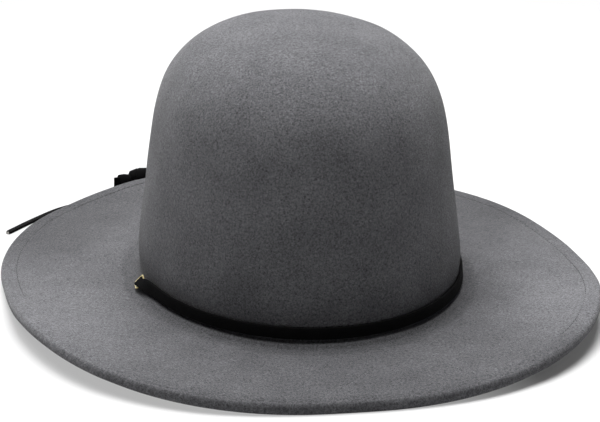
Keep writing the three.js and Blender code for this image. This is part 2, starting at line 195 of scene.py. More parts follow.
# Nap of each cloth: fibres, clouds and flecks per metre
FELT_NAP = (980.0, 42.0, 330.0)
SUEDE_NAP = (1400.0, 160.0, 500.0)
CUT_NAP = (2600.0, 400.0, 500.0)
THREAD_NAP = (4000.0, 300.0, 900.0)

# Colours, each pair from dark to pale, and each pair of fibres as a share of the shade that it lies on
FELT_SHADES = ((0.140, 0.140, 0.149, 1), (0.178, 0.178, 0.188, 1))
FELT_FIBRES = ((0.22, 0.22, 0.22, 1), (1.78, 1.78, 1.78, 1))
# Painted shade for the front of the brim's edge
FELT_EDGE_SHADE = (0.035, 0.035, 0.038, 1)
FELT_FLECK = (0.40, 0.40, 0.41, 1)
SUEDE_SHADES = ((0.0022, 0.0022, 0.0024, 1), (0.0044, 0.0044, 0.0047, 1))
SUEDE_FIBRES = ((0.7, 0.7, 0.7, 1), (1.3, 1.3, 1.3, 1))
CUT_SHADES = ((0.22, 0.21, 0.20, 1), (0.62, 0.61, 0.58, 1))
BRASS_SHADES = ((0.84, 0.70, 0.32, 1), (1.0, 0.89, 0.52, 1))
THREAD_SHADES = ((0.028, 0.028, 0.030, 1), (0.058, 0.058, 0.061, 1))

# Edges sharper than this stay sharp in the shading
SHARP_DEG = 40

# The floor, in metres: its grey, its glow to the eye from left to right, and where it turns white further out
FLOOR_SIZE = 6.0
FLOOR_GREY = (0.62, 0.62, 0.62, 1)
FLOOR_GLOW = (0.44, 0.08)
FLOOR_GLOW_X = (0.025, 0.10)
FLOOR_MATT_TO = 0.26
FLOOR_WHITE_FROM = 0.6

# Under the brim the floor doesn't glow: the brim's oval, its dark share from left to right, and its edge
UNDER_BRIM = (1 / (BRIM_HALF_WIDTH * MM), 1 / (BRIM_HALF_LENGTH * MM), 0)
DEEP_SHADE = (0.86, 0.95)
DEEP_SHADE_X = (-0.04, 0.12)
SHADE_EDGE = 0.05

# Softboxes: direction round from the front and up in degrees, distance and size in metres, watts
SOFTBOXES = (
    ("overhead", 180, 75, 1.8, 1.2, 54),
    ("above_left", -90, 75, 1.8, 1.2, 22),
    ("behind", 180, 15, 1.8, 1.2, 14),
    ("right", 60, 45, 1.8, 1.2, 1.0),
)
SOFTBOXES_LOOK_AT_Z = 0.05
METAL_GLOW = 0.6


def clamp(value, low=0.0, high=1.0):
    return max(low, min(high, value))


def blend_from(value, start, end):
    share = clamp((value - start) / (end - start))
    return share * share * (3 - 2 * share)


def between(a, b, share):
    return a + (b - a) * share


# The camera
def add_camera():
    at = Vector(CAMERA_AT) * MM
    looks_at = Vector(CAMERA_LOOKS_AT) * MM
    turn = (looks_at - at).to_track_quat("-Z", "Y").to_matrix().to_4x4()
    lens = bpy.data.cameras.new("camera")
    lens.lens = CAMERA_LENS
    lens.sensor_width = CAMERA_SENSOR_WIDTH
    lens.sensor_fit = "HORIZONTAL"
    lens.clip_end = 20
    camera = bpy.data.objects.new("camera", lens)
    roll = Matrix.Rotation(math.radians(CAMERA_ROLL_DEG), 4, "Z")
    camera.matrix_world = Matrix.Translation(at) @ turn @ roll
    bpy.context.scene.collection.objects.link(camera)
    bpy.context.scene.camera = camera


add_camera()


# Node helpers
def add_node(tree, kind, inputs=None, **settings):
    node = tree.nodes.new(kind)
    for name, value in settings.items():
        setattr(node, name, value)
    for name, value in (inputs or {}).items():
        if isinstance(value, bpy.types.NodeSocket):
            tree.links.new(value, node.inputs[name])
        else:
            node.inputs[name].default_value = value
    return node


def add_math(tree, operation, a, b=0.0, clamped=False):
    node = add_node(tree, "ShaderNodeMath", {0: a, 1: b}, operation=operation, use_clamp=clamped)
    return node.outputs[0]


def add_mix(tree, factor, a, b, blend="MIX"):
    node = add_node(tree, "ShaderNodeMix", data_type="RGBA", blend_type=blend)
    for name, value in (("Factor", factor), ("A", a), ("B", b)):
        socket = [s for s in node.inputs if s.name == name and (s.type == "RGBA" or name == "Factor")][0]
        if isinstance(value, bpy.types.NodeSocket):
            tree.links.new(value, socket)
        else:
            socket.default_value = value
    return [s for s in node.outputs if s.type == "RGBA"][0]


def add_range(tree, value, low, high, to_low=0.0, to_high=1.0):
    sizes = {"Value": value, "From Min": low, "From Max": high, "To Min": to_low, "To Max": to_high}
    return add_node(tree, "ShaderNodeMapRange", sizes).outputs[0]


# Brushed nap: short fibres that lie this way and that, soft clouds of lighter and darker pile, and flecks
def nap_group():
    group = bpy.data.node_groups.new("brushed_nap", "ShaderNodeTree")
    sockets = group.interface
    sockets.new_socket("Vector", in_out="INPUT", socket_type="NodeSocketVector")
    for name in ("Fibres per metre", "Clouds per metre", "Flecks per metre"):
        sockets.new_socket(name, in_out="INPUT", socket_type="NodeSocketFloat")
    for name in ("Fibre tone", "Cloud tone", "Flecks", "Height"):
        sockets.new_socket(name, in_out="OUTPUT", socket_type="NodeSocketFloat")
    given = add_node(group, "NodeGroupInput").outputs
    place = given["Vector"]
    scale = given["Fibres per metre"]
    coarse = {"Vector": place, "Scale": scale, "Detail": 3.0, "Roughness": 0.62, "Distortion": 0.6}
    fibres = add_node(group, "ShaderNodeTexNoise", coarse).outputs[0]
    finer_scale = add_math(group, "MULTIPLY", scale, 2.7)
    finer = {"Vector": place, "Scale": finer_scale, "Detail": 2.0, "Roughness": 0.6, "Distortion": 1.2}
    hairs = add_node(group, "ShaderNodeTexNoise", finer).outputs[0]
    wide = {"Vector": place, "Scale": given["Clouds per metre"], "Detail": 3.0, "Roughness": 0.5}
    clouds = add_node(group, "ShaderNodeTexNoise", wide).outputs[0]
    cells = add_node(group, "ShaderNodeTexVoronoi", {"Vector": place, "Scale": given["Flecks per metre"]})
    small = add_range(group, cells.outputs["Distance"], 0.16, 0.05)
    chosen = add_range(group, cells.outputs["Color"], 0.62, 0.72)
    flecks = add_math(group, "MULTIPLY", small, chosen)
    height = add_math(group, "ADD", fibres, add_math(group, "MULTIPLY", hairs, 0.8))
    fibre_share = add_math(group, "MULTIPLY", fibres, 0.58)
    hair_share = add_math(group, "MULTIPLY", hairs, 0.42)
    tone = add_math(group, "ADD", fibre_share, hair_share)
    put = {"Fibre tone": add_range(group, tone, 0.32, 0.68), "Flecks": flecks, "Height": height}
    put["Cloud tone"] = add_range(group, clouds, 0.3, 0.7)
    add_node(group, "NodeGroupOutput", put)
    return group


NAP = nap_group()


def new_material(name):
    material = bpy.data.materials.new(name)
    material.use_nodes = True
    tree = material.node_tree
    tree.nodes.clear()
    place = add_node(tree, "ShaderNodeTexCoord").outputs["Object"]
    return material, tree, place


def finish_material(tree, inputs):
    surface = add_node(tree, "ShaderNodeBsdfPrincipled", inputs)
    add_node(tree, "ShaderNodeOutputMaterial", {"Surface": surface.outputs[0]})


def add_nap(tree, place, per_metre):
    node = add_node(tree, "ShaderNodeGroup", node_tree=NAP)
    tree.links.new(place, node.inputs["Vector"])
    for name, value in zip(("Fibres per metre", "Clouds per metre", "Flecks per metre"), per_metre):
        node.inputs[name].default_value = value
    return node.outputs


def add_bump(tree, height, strength, distance):
    sizes = {"Height": height, "Strength": strength, "Distance": distance}
    return add_node(tree, "ShaderNodeBump", sizes).outputs[0]


# Grey wool felt, with painted light and shade round the brim and crown, and painted shade on the front edge
def grey_felt():
    material, tree, place = new_material("grey_felt")
    nap = add_nap(tree, place, FELT_NAP)
    shade = add_mix(tree, nap["Cloud tone"], *FELT_SHADES)
    fibres = add_mix(tree, nap["Fibre tone"], *FELT_FIBRES)
    felt = add_mix(tree, 1.0, shade, fibres, "MULTIPLY")
    # Painted light and shade: each point's tone scales the felt's colour
    painted_tone = add_node(tree, "ShaderNodeAttribute", attribute_name="painted_light_tone").outputs["Fac"]
    felt_painted_light = add_node(tree, "ShaderNodeVectorMath", {0: felt, "Scale": painted_tone}, operation="SCALE").outputs[0]
    # Painted shade on the front edge, mottled by a noise
    edge_shade_attribute = add_node(tree, "ShaderNodeAttribute", attribute_name="painted_edge_shade").outputs["Fac"]
    blotch = add_node(tree, "ShaderNodeTexNoise", {"Vector": place, "Scale": 420.0, "Detail": 4.0}).outputs[0]
    edge_shade = add_math(tree, "MULTIPLY", edge_shade_attribute, add_range(tree, blotch, 0.3, 0.7, 0.05, 0.45))
    edge_shaded = add_mix(tree, edge_shade, felt_painted_light, FELT_EDGE_SHADE)
    flecked = add_mix(tree, add_math(tree, "MULTIPLY", nap["Flecks"], 0.35), edge_shaded, FELT_FLECK)
    inputs = {"Base Color": flecked, "Roughness": 0.95, "Diffuse Roughness": 1.0, "Specular IOR Level": 0.15}
    inputs.update({"Sheen Weight": 0.22, "Sheen Roughness": 0.14})
    inputs["Normal"] = add_bump(tree, nap["Height"], 0.8, 0.0007)
    finish_material(tree, inputs)
    return material


# Black suede, with a soft short nap
def black_suede():
    material, tree, place = new_material("black_suede")
    nap = add_nap(tree, place, SUEDE_NAP)
    shade = add_mix(tree, nap["Cloud tone"], *SUEDE_SHADES)
    fibres = add_mix(tree, nap["Fibre tone"], *SUEDE_FIBRES)
    suede = add_mix(tree, 1.0, shade, fibres, "MULTIPLY")
    inputs = {"Base Color": suede, "Roughness": 0.9, "Diffuse Roughness": 1.0, "Specular IOR Level": 0.06}
    inputs["Normal"] = add_bump(tree, nap["Height"], 0.5, 0.0003)
    finish_material(tree, inputs)
    return material


# The raw cut end of the strap, where the pale core of the leather shows
def cut_leather():
    material, tree, place = new_material("cut_leather")
    nap = add_nap(tree, place, CUT_NAP)
    colour = add_mix(tree, nap["Fibre tone"], *CUT_SHADES)
    bump = add_bump(tree, nap["Height"], 0.6, 0.0003)
    finish_material(tree, {"Base Color": colour, "Roughness": 0.9, "Normal": bump})
    return material


# Brass, rubbed bright in patches at random: paler and smoother there
def brass():
    material, tree, place = new_material("brass")
    dull = {"Vector": place, "Scale": 420.0, "Detail": 4.0, "Roughness": 0.6}
    smudge = add_node(tree, "ShaderNodeTexNoise", dull).outputs[0]
    colour = add_mix(tree, add_range(tree, smudge, 0.35, 0.65), *BRASS_SHADES)
    rough = add_range(tree, smudge, 0.3, 0.7, 0.42, 0.28)
    fine = {"Vector": place, "Scale": 3000.0, "Detail": 1.0}
    scratches = add_node(tree, "ShaderNodeTexNoise", fine).outputs[0]
    bump = add_bump(tree, scratches, 0.15, 0.0001)
    finish_material(tree, {"Base Color": colour, "Metallic": 1.0, "Roughness": rough, "Normal": bump})
    return material


# Dark grey sewing thread
def seam_thread():
    material, tree, place = new_material("seam_thread")
    nap = add_nap(tree, place, THREAD_NAP)
    colour = add_mix(tree, nap["Fibre tone"], *THREAD_SHADES)
    bump = add_bump(tree, nap["Height"], 0.4, 0.0001)
    finish_material(tree, {"Base Color": colour, "Roughness": 0.7, "Normal": bump})
    return material


FELT_CLOTH = grey_felt()
SUEDE = black_suede()
CUT_LEATHER = cut_leather()
BRASS = brass()
THREAD = seam_thread()


# A finished mesh in metres, riding on the hat
def add_piece(name, bm, materials, nodes=(), sharp_deg=SHARP_DEG):
    bmesh.ops.scale(bm, vec=(MM, MM, MM), verts=bm.verts)
    mesh = bpy.data.meshes.new(name)
    bm.to_mesh(mesh)
    bm.free()
    for material in materials:
        mesh.materials.append(material)
    mesh.shade_smooth()
    mesh.set_sharp_from_angle(angle=math.radians(sharp_deg))
    piece = bpy.data.objects.new(name, mesh)
    bpy.context.scene.collection.objects.link(piece)
    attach(piece, "root")
    if nodes:
        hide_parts(*nodes)
    return piece


# The crown's oval and the eyelets' seats, which the strap and the felt share
def crown_oval(angle, scale=1.0, out=0.0):
    x = (CROWN_HALF_WIDTH * scale + out) * math.sin(angle)
    y = CROWN_CENTRE_Y - (CROWN_HALF_LENGTH * scale + out) * math.cos(angle)
    return Vector((x, y, 0))


def crown_out(angle):
    return Vector((math.sin(angle) / CROWN_HALF_WIDTH, -math.cos(angle) / CROWN_HALF_LENGTH, 0)).normalized()


class EyeletSeat:
    """The place of an eyelet, and its directions forward, up the frame and off the felt."""

    def __init__(self, side):
        angle = math.radians(EYELET_LEFT_DEG if side < 0 else EYELET_RIGHT_DEG)
        tilt = math.radians(EYELET_TILT_DEG)
        roll = math.radians(EYELET_ROLL_DEG)
        self.side = side
        self.foot = crown_oval(angle)
        self.out = crown_out(angle)
        self.level = Vector((-self.out.y, self.out.x, 0)) * -side
        self.off = self.out * math.cos(tilt) + UP * math.sin(tilt)
        slope = -self.out * math.sin(tilt) + UP * math.cos(tilt)
        self.forward = self.level * math.cos(roll) + slope * math.sin(roll)
        self.rise = slope * math.cos(roll) - self.level * math.sin(roll)
        bend_centre = self.foot + UP * (BRIM_ROOT_Z + FOOT_RADIUS) + self.out * FOOT_RADIUS
        self.centre = bend_centre + slope * EYELET_RAISE

    def at(self, forward, depth):
        return self.centre + self.forward * forward - self.off * depth

    def matrix(self, forward, depth):
        return axes_at(self.forward * -self.side, self.rise, self.off, self.at(forward, depth))


def axes_at(x, y, z, at):
    matrix = Matrix((x, y, z)).transposed().to_4x4()
    matrix.translation = at
    return matrix


SEATS = {"left": EyeletSeat(-1), "right": EyeletSeat(1)}


# Straps: a section with its width along x and its thickness along y, drawn from one place to the next
def strap_place(at, across, face, width, thick=STRAP_THICK):
    across = across.normalized()
    face = (face - across * face.dot(across)).normalized()
    return axes_at(across * width, face * thick, across.cross(face), at)


def draw_strap(bm, places, chamfer=STRAP_CHAMFER):
    made = bmesh.ops.create_grid(bm, x_segments=1, y_segments=1, size=0.5)
    corners = made["verts"]
    size = (STRAP_WIDTH, STRAP_THICK, 1)
    bmesh.ops.scale(bm, vec=size, verts=corners)
    rounded = bmesh.ops.bevel(
        bm, geom=corners, offset=chamfer, affect="VERTICES", segments=3, profile=0.5, material=-1
    )
    ring = rounded["verts"]
    bmesh.ops.scale(bm, vec=(1 / size[0], 1 / size[1], 1), verts=ring)
    bmesh.ops.transform(bm, matrix=places[0], verts=ring)
    cap = ring[0].link_faces[0]
    start = cap
    for before, after in zip(places, places[1:]):
        grown = bmesh.ops.extrude_face_region(bm, geom=[cap])["geom"]
        ring = [part for part in grown if isinstance(part, bmesh.types.BMVert)]
        if cap is not start:
            bmesh.ops.delete(bm, geom=[cap], context="FACES_ONLY")
        cap = [part for part in grown if isinstance(part, bmesh.types.BMFace)][0]
        bmesh.ops.transform(bm, matrix=after @ before.inverted(), verts=ring)
    return start, cap


# A smooth line through a few points, drawn as evenly as the points are spaced
def smooth_line(points, step):
    points = [Vector(p) for p in points]
    whole = [points[0] * 2 - points[1], *points, points[-1] * 2 - points[-2]]
    line = []
    for p0, p1, p2, p3 in zip(whole, whole[1:], whole[2:], whole[3:]):
        d0, d1, d2 = [(b - a).length ** 0.5 for a, b in ((p0, p1), (p1, p2), (p2, p3))]
        leave = ((p1 - p0) / d0 - (p2 - p0) / (d0 + d1) + (p2 - p1) / d1) * d1
        reach = ((p2 - p1) / d1 - (p3 - p1) / (d1 + d2) + (p3 - p2) / d2) * d1
        count = max(2, round((p2 - p1).length / step))
        for i in range(count):
            t = i / count
            line.append(
                p1 * (2 * t**3 - 3 * t**2 + 1)
                + leave * (t**3 - 2 * t**2 + t)
                + p2 * (3 * t**2 - 2 * t**3)
                + reach * (t**3 - t**2)
            )
    line.append(points[-1])
    return line


def line_length(line):
    return sum((b - a).length for a, b in zip(line, line[1:]))


# A stretch of strap along a line, with a function for its face and one for its width at a share of the way
def places_along(line, face_at, width_at, thick=STRAP_THICK):
    places = []
    for i, at in enumerate(line):
        run = (line[min(i + 1, len(line) - 1)] - line[max(i - 1, 0)]).normalized()
        share = i / (len(line) - 1)
        face = face_at(share, at)
        places.append(strap_place(at, face.cross(run), face, width_at(share), thick))
    return places


def laid_point(seat, on):
    return Vector((seat.foot.x, seat.foot.y, LAID_Z)) + seat.out * LAID_OUT - seat.level * (LAID_BACK + on)


# The legs lie on the surface from each eyelet to the knot: points x, y on that surface
LEFT_LEG = ((-95, 20), (-104, 38), (-107, 68), (-102, 100), (-90, 132), (-77, 155), (-69.9, 167.3))
RIGHT_LEG = (
    (87, 48), (91, 66), (92, 86), (86, 107), (70, 128),
    (44, 143), (8, 151), (-24, 161), (-44, 170), (-58.9, 174),
)
TAIL = (
    (-76, 167.7), (-84, 163), (-91.4, 155.6), (-100.3, 147.7), (-116, 137.6), (-132, 121.5), (-147.7, 103.3),
)


def laid_face(share, at):
    return Vector((LAID_UNEVEN * noise.noise(at / 22), LAID_UNEVEN * noise.noise(at / 17 + UP), 1))


def leg_width(share):
    return STRAP_WIDTH


def tail_width(share):
    width = between(TAIL_ROOT_WIDTH, TAIL_TIP_WIDTH, blend_from(share, 0.0, TAIL_TAPER_TO))
    return width * (1 - TAIL_CUT_NARROWS * blend_from(share, TAIL_CUT_FROM, 1))


# A lace wound round the knot, from the front up over the top and down the back
def wound_places(middle, size, along, width, pitch, turns):
    places = []
    last = (turns[1] - turns[0]) // WOUND_STEP_DEG
    for i in range(last + 1):
        turned = turns[0] + WOUND_STEP_DEG * i
        turn = math.radians(turned)
        x = along + pitch * (turned - 90) / 360
        round_off = math.sqrt(max(1 - (x / size[0]) ** 2, 0.1))
        sunk = 1 - WOUND_END_SINKS * max(0, 3 - i, 3 - (last - i))
        y = -math.cos(turn) * round_off
        z = math.sin(turn) * round_off
        at = middle + Vector((x, size[1] * y * sunk, size[2] * z * sunk))
        at += Vector((0, y, z)) * KNOT_UNEVEN * noise.noise(at / 3)
        face = Vector((x / size[0] ** 2, y / size[1], z / size[2]))
        places.append((at, face, width * (0.8 + 0.2 * sunk)))
    line = [at for at, face, width in places]
    wound = []
    for i, (at, face, width) in enumerate(places):
        run = (line[min(i + 1, last)] - line[max(i - 1, 0)]).normalized()
        wound.append(strap_place(at, face.cross(run), face, width, KNOT_LACE_THICK))
    return wound


# The laces wound round the knot: middle, half sizes, places along it, width, pitch, turns in degrees
KNOT_WINDINGS = (
    (KNOT_BODY, KNOT_BODY_SIZE, (-5.0, 0.0, 5.0), 5.2, 7.0, (-80, 260)),
    (KNOT_COLLAR, KNOT_COLLAR_SIZE, (-1.4, 1.6), 3.6, -4.0, (-90, 270)),
)

# The laces that run in and out of the knot: x, y, z, which way the face looks, width
KNOT_STUBS = (
    ((-69.9, 167.3, 0.85, "up", 6.1), (-68.2, 170.2, 1.2, "up", 6.3), (-66.5, 173.0, 2.6, "up", 5.6)),
    ((-58.9, 174.0, 0.85, "up", 6.1), (-61.9, 174.8, 1.3, "up", 6.3), (-65.0, 175.2, 2.8, "up", 5.6)),
    ((-76.0, 167.7, 0.85, "up", 4.2), (-73.8, 168.8, 1.6, "up", 4.4), (-71.0, 171.0, 3.2, "up", 4.8)),
    ((KNOT_END_TIP_X, KNOT_END_Y, 4.3, "front", 5.6), (KNOT_END_TIP_X + 0.7, KNOT_END_Y, 4.3, "front", 6.6),
     (-77.6, KNOT_END_Y, 4.4, "front", 6.9), (-75.6, 170.5, 4.8, "front", 6.6),
     (-71.0, 172.5, 5.0, "front", 5.0)),
    ((-59.6, 175.0, 8.3, "up", 6.0), (-57.4, 175.0, 7.7, "right", 6.2), (-56.4, 175.0, 5.6, "right", 6.2),
     (-57.4, 175.0, 3.4, "right", 6.2), (-60.2, 175.0, 2.4, "down", 5.6)),
)
LOOKS = {"up": UP, "down": -UP, "front": Vector((0, -1, 0)), "right": Vector((1, 0, 0))}


def stub_places(rows):
    points = [Vector(row[:3]) for row in rows]
    line = smooth_line(points, 0.6)
    places = []
    for i, at in enumerate(line):
        near = [1 / ((point - at).length + 0.4) ** 2 for point in points]
        face = Vector((0, 0, 0))
        for row, weight in zip(rows, near):
            face += LOOKS[row[3]] * weight
        width = sum(row[4] * weight for row, weight in zip(rows, near)) / sum(near)
        run = (line[min(i + 1, len(line) - 1)] - line[max(i - 1, 0)]).normalized()
        face = (face - run * face.dot(run)).normalized()
        places.append(strap_place(at, face.cross(run), face, width))
    return places


def add_knot():
    bm = bmesh.new()
    core = Matrix.Translation(KNOT_BODY) @ Matrix.Diagonal((*KNOT_CORE_SIZE, 1))
    bmesh.ops.create_uvsphere(bm, u_segments=24, v_segments=14, radius=1, matrix=core)
    for middle, size, starts, width, pitch, turns in KNOT_WINDINGS:
        for along in starts:
            draw_strap(bm, wound_places(middle, size, along, width, pitch, turns), KNOT_CHAMFER)
    for rows in KNOT_STUBS:
        ends = draw_strap(bm, stub_places(rows))
        if rows[0][0] == KNOT_END_TIP_X:
            ends[0].material_index = 1
    bmesh.ops.recalc_face_normals(bm, faces=bm.faces)
    return add_piece("knot", bm, [SUEDE, CUT_LEATHER], ["strap_knot"])


def add_cords():
    knot = add_knot()
    for side, leg in (("left", LEFT_LEG), ("right", RIGHT_LEG)):
        seat = SEATS[side]
        route = [laid_point(seat, GAP), laid_point(seat, 6), *(Vector((x, y, LAID_Z)) for x, y in leg)]
        line = smooth_line(route, 2.0)
        bm = bmesh.new()
        draw_strap(bm, places_along(line, laid_face, leg_width))
        bmesh.ops.recalc_face_normals(bm, faces=bm.faces)
        piece = add_piece("leg_" + side, bm, [SUEDE], ["strap_leg_" + side])
    route = [Vector((x, y, LAID_Z)) for x, y in TAIL]
    line = smooth_line(route, 1.5)
    bm = bmesh.new()
    ends = draw_strap(bm, places_along(line, laid_face, tail_width))
    ends[1].material_index = 1
    bmesh.ops.recalc_face_normals(bm, faces=bm.faces)
    tail = add_piece("tail", bm, [SUEDE, CUT_LEATHER], ["strap_tail"])


add_cords()


# The felt's shape, as the distance round from the front and the distance in from the edge give it
def under_edge(degrees):
    span = QUARTER_SPAN_RIGHT_DEG if degrees > 0 else QUARTER_SPAN_LEFT_DEG
    along = clamp((abs(degrees) - FRONT_REST_DEG) / (span - FRONT_REST_DEG))
    curl = QUARTER_LIFT * math.sin(math.pi * along) ** 2
    away = abs((degrees - KNOT_LIFT_AT_DEG + 180) % 360 - 180)
    return curl + KNOT_LIFT * math.cos(math.pi / 2 * clamp(away / KNOT_LIFT_SPAN_DEG)) ** 2


def brim_edge(angle):
    across = abs(math.sin(angle) / BRIM_HALF_WIDTH) ** BRIM_OVAL_POWER
    along = abs(math.cos(angle) / BRIM_HALF_LENGTH) ** BRIM_OVAL_POWER
    reach = (across + along) ** (-1 / BRIM_OVAL_POWER)
    return Vector((reach * math.sin(angle), -reach * math.cos(angle), 0))


class BrimLine:
    """The brim's section at one angle, from its outer edge in to the crown's foot."""

    def __init__(self, angle):
        degrees = (math.degrees(angle) + 180) % 360 - 180
        self.angle = angle
        self.root = crown_oval(angle, 1, FOOT_RADIUS)
        self.edge = brim_edge(angle)
        self.length = (self.root - self.edge).length
        self.under = under_edge(degrees)
        self.roll = HEM_ROLL * max(math.cos(angle), 0) ** 2

    def plan(self, inwards):
        return self.edge.lerp(self.root, inwards / self.length)

    def top_z(self, inwards):
        hem_top = self.under + 2 * FELT
        if inwards < HEM_WIDTH:
            return hem_top + self.roll * (1 - (1 - inwards / HEM_WIDTH) ** 2)
        along = (self.length - inwards) / (self.length - HEM_WIDTH)
        return BRIM_ROOT_Z + (hem_top + self.roll - BRIM_ROOT_Z) * along**CURL_POWER

    def top(self, inwards, below=0.0):
        return self.plan(inwards) + UP * (self.top_z(inwards) - below)

    def bottom(self, inwards, up=0.0):
        share = clamp((inwards - EDGE_RADIUS) / (HEM_WIDTH - EDGE_RADIUS))
        return self.plan(inwards) + UP * (self.under + up + self.roll * (1 - (1 - share) ** 2))

    def rim(self, turn):
        low = self.bottom(EDGE_RADIUS).z
        high = self.top(EDGE_RADIUS).z
        inwards = EDGE_RADIUS * (1 - math.cos(turn)) * (LOW_EDGE_SHARE if turn < 0 else 1)
        return self.plan(inwards) + UP * between(low, high, (1 + math.sin(turn)) / 2)

    def inwards(self, share):
        return self.length - share * (self.length - HEM_RAW_EDGE - 1.5)


def seam_dip(line, inwards):
    return seam_depth(line) * math.exp(-(((inwards - HEM_WIDTH) / SEAM_HALF_WIDTH) ** 2))


# At the front the seam is brushed over: the nap closes above its stitches
def seam_depth(line):
    return SEAM_DEPTH * (1 - seam_cover(line))


def seam_cover(line):
    degrees = (math.degrees(line.angle) + 180) % 360 - 180
    return blend_from(degrees, *COVER_STARTS_DEG) * (1 - blend_from(degrees, *COVER_STOPS_DEG))


# The strap holds the crown in, so its wall swells a little above the strap
def wall_swell(z):
    above = max(z - SWELL_FULL_Z, 0) / SWELL_FADE
    return SWELL * blend_from(z, SWELL_FROM_Z, SWELL_FULL_Z) * math.exp(-above * above)


def crown_point(line, how, inset):
    foot = BRIM_ROOT_Z + FOOT_RADIUS
    z = foot + (CROWN_TOP_Z - inset - foot) * how
    width = (1 - CROWN_TAPER * how) * math.sqrt(max(1 - how**DOME_POWER, 0))
    swell = wall_swell(z) if how < 1 else 0
    return crown_oval(line.angle, width * (1 - inset / CROWN_HALF_WIDTH), swell) + UP * z


def foot_fill(turn_deg):
    return FOOT_FILL * blend_from(turn_deg, *FILL_STARTS_DEG) * blend_from(90 - turn_deg, *FILL_STOPS_DEG)


def foot_point(line, turn_deg, radius):
    turn = math.radians(turn_deg)
    if radius == FOOT_RADIUS:
        radius -= foot_fill(turn_deg)
    p = crown_oval(line.angle, 1, FOOT_RADIUS - radius * math.cos(turn))
    return p + UP * (BRIM_ROOT_Z + FOOT_RADIUS - radius * math.sin(turn))


# Rows round the hem, as distances in from its edge, close together at the seam
HEM_UNDER = (9.7, 9.3, 9.0, 8.8, 8.6, 8.4, 8.2, 7.9, 7.3, 6.2, 5.0, 3.8, 2.8, EDGE_RADIUS, 1.3)
HEM_OVER = (EDGE_RADIUS, 2.8, 3.8, 5.0, 6.2, 7.1, 7.7, 8.0, 8.2, 8.4, 8.6, 8.8, 9.0, 9.2, 9.5, 10.0)
RIM_TURNS_DEG = (-75, -55, -35, -15, 0, 15, 35, 55, 75)


# The section up the inside, out under the brim, round the hem, back over the brim and up the crown
def felt_section():
    rows = []
    inner = [1 - (i / INNER_ROWS) ** ROW_CROWDING for i in range(INNER_ROWS + 1)]
    rows += [lambda line, how=how: crown_point(line, how, FELT) for how in inner]
    rows += [lambda line, turn=turn: foot_point(line, turn, FOOT_RADIUS + FELT) for turn in range(10, 91, 10)]
    shares = [i / BRIM_ROWS for i in range(1, BRIM_ROWS + 1)]
    rows += [lambda line, share=share: line.top(line.inwards(share), FELT) for share in shares]
    rows += [lambda line: line.top(HEM_RAW_EDGE + 0.4, FELT)]
    rows += [lambda line, up=up: line.bottom(HEM_RAW_EDGE, up) for up in (1.8, 0.25)]
    rows += [
        lambda line, inwards=inwards: line.bottom(inwards, seam_dip(line, inwards))
        for inwards in HEM_UNDER
    ]
    rows += [lambda line, turn=turn: line.rim(math.radians(turn)) for turn in RIM_TURNS_DEG]
    rows += [lambda line, inwards=inwards: line.top(inwards, seam_dip(line, inwards)) for inwards in HEM_OVER]
    rows += [lambda line, share=share: line.top(line.inwards(share)) for share in reversed(shares)]
    rows += [lambda line, turn=turn: foot_point(line, turn, FOOT_RADIUS) for turn in range(90, 0, -10)]
    outer = [1 - (1 - i / DOME_ROWS) ** ROW_CROWDING for i in range(DOME_ROWS + 1)]
    rows += [lambda line, how=how: crown_point(line, how, 0) for how in outer]
    return rows


# Blocked felt is never quite even: soft dents of a few tenths, none of them below the surface it rests on
def felt_wobble(p):
    (slow, slow_size), (short, short_size) = DENTS
    dents = noise.noise(p / slow_size) * slow + noise.noise(p / short_size + UP * 7) * short
    return dents * blend_from(p.z, *DENTS_FADE_IN)


# Painted light and shade as a tone on the felt's colour: round the brim, and up the crown's wall to its dome
def painted_light_tone(p):
    round_deg = abs(math.degrees(math.atan2(p.x, -p.y)))
    tone = PAINTED_LIGHT_ROUND[-1][1]
    for (start, low), (end, high) in zip(PAINTED_LIGHT_ROUND, PAINTED_LIGHT_ROUND[1:]):
        if start <= round_deg < end:
            tone = between(low, high, blend_from(round_deg, start, end))
    outwards = math.hypot(p.x / CROWN_HALF_WIDTH, (p.y - CROWN_CENTRE_Y) / CROWN_HALF_LENGTH)
    if outwards > PAINTED_LIGHT_BRIM_FADE_IN[0]:
        return between(1, tone, blend_from(outwards, *PAINTED_LIGHT_BRIM_FADE_IN))
    wall = between(PAINTED_SHADE_FOOT, PAINTED_SHADE_WALL, blend_from(p.z, *PAINTED_SHADE_WALL_Z))
    return wall * between(1, PAINTED_LIGHT_DOME, blend_from(p.z, *PAINTED_LIGHT_DOME_Z))


# The painted shade at the front is full round the brim's edge, and fades out over the hem
def painted_edge_shade(line, p):
    front = blend_from(math.cos(line.angle), *EDGE_SHADE_ROUND)
    inwards = (p - line.edge).xy.length
    if inwards > EDGE_SHADE_REACH or p.z > line.top_z(HEM_WIDTH) + 1:
        return 0
    return front * (1 - blend_from(inwards, EDGE_SHADE_FULL_TO, EDGE_SHADE_REACH))


